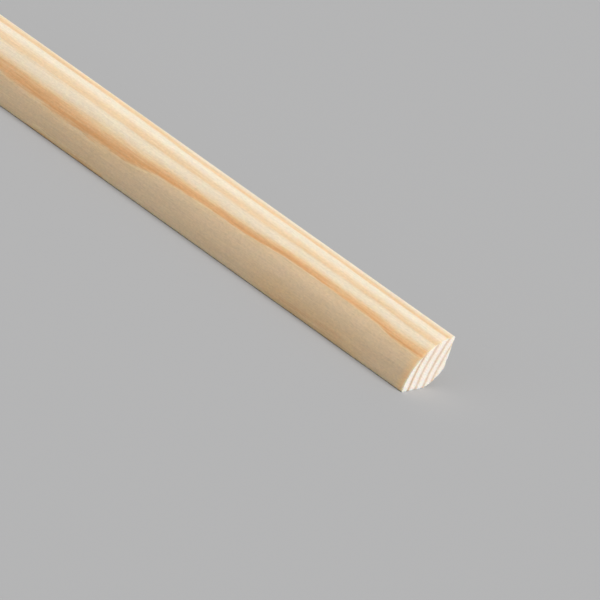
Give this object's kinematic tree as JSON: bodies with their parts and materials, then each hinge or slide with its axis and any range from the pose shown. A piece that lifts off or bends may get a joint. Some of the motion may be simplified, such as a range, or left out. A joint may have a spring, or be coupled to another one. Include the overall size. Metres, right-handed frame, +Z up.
{
  "type": "quarter round moulding",
  "caption": "Straight length of solid pine moulding, a quarter circle in section, that covers the joint where a wall meets a floor or ceiling.",
  "frame": {"origin": "under the middle of the piece, on the plane of the bottom flat", "axes": "+X along the length; +Z up, away from the bottom flat; +Y out of the back flat, so the curved face looks towards -Y and +Z"},
  "size_m": [0.9, 0.018, 0.018],
  "materials": {
    "pine": "bare planed softwood, unfinished, with sawn ends"
  },
  "bodies": {
    "root": {"quarter_round": "pine"}
  },
  "joints": []
}
